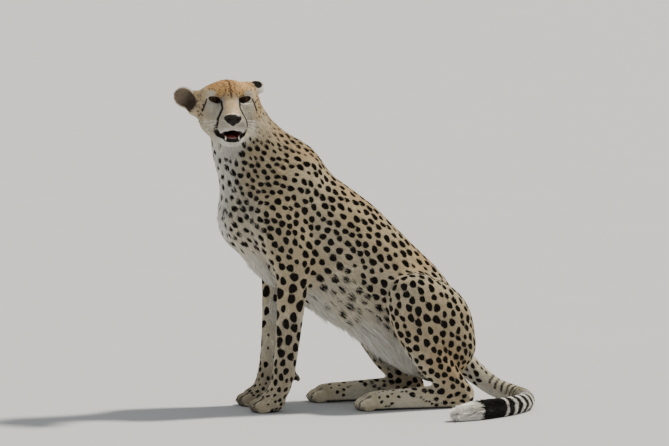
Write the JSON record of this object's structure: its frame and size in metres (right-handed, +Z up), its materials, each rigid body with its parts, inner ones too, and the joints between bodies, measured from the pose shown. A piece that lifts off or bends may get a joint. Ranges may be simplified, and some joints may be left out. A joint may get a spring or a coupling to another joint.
{
  "type": "cheetah",
  "caption": "Life-size still model of an adult cheetah sitting upright with its head turned to its left, mouth slightly open, tail laid round on the floor.",
  "frame": {"origin": "middle of the whole animal's bounding box, on the floor under it", "axes": "+Z up, -Y the way the body faces, +X the animal's left, the side its head is turned to"},
  "size_m": [0.5528, 0.8864, 0.8121],
  "materials": {
    "coat_tan": "short dense fur, tan with solid black spots",
    "coat_pale": "short fur, pale buff to white with black spots",
    "coat_tail": "thicker fur, spotted, then ringed black, with a white tip",
    "nose_skin": "black, moist",
    "eye": "wet, dark amber",
    "tongue": "wet, dull pink"
  },
  "bodies": {
    "root": {"head": "coat_tan", "ear_left": "coat_tan", "ear_right": "coat_tan", "jaw": "coat_pale", "neck": "coat_tan", "chest": "coat_tan", "loin": "coat_tan", "rump": "coat_tan", "nose": "nose_skin", "eye_left": "eye", "eye_right": "eye", "tongue": "tongue", "upper_arm_left": "coat_tan", "thigh_left": "coat_tan", "forearm_left": "coat_pale", "forepaw_left": "coat_pale", "shank_left": "coat_pale", "hind_foot_left": "coat_pale", "upper_arm_right": "coat_tan", "thigh_right": "coat_tan", "forearm_right": "coat_pale", "forepaw_right": "coat_pale", "shank_right": "coat_pale", "hind_foot_right": "coat_pale", "tail_1": "coat_tail", "tail_2": "coat_tail", "tail_3": "coat_tail", "tail_4": "coat_tail", "tail_5": "coat_tail"}
  },
  "joints": []
}
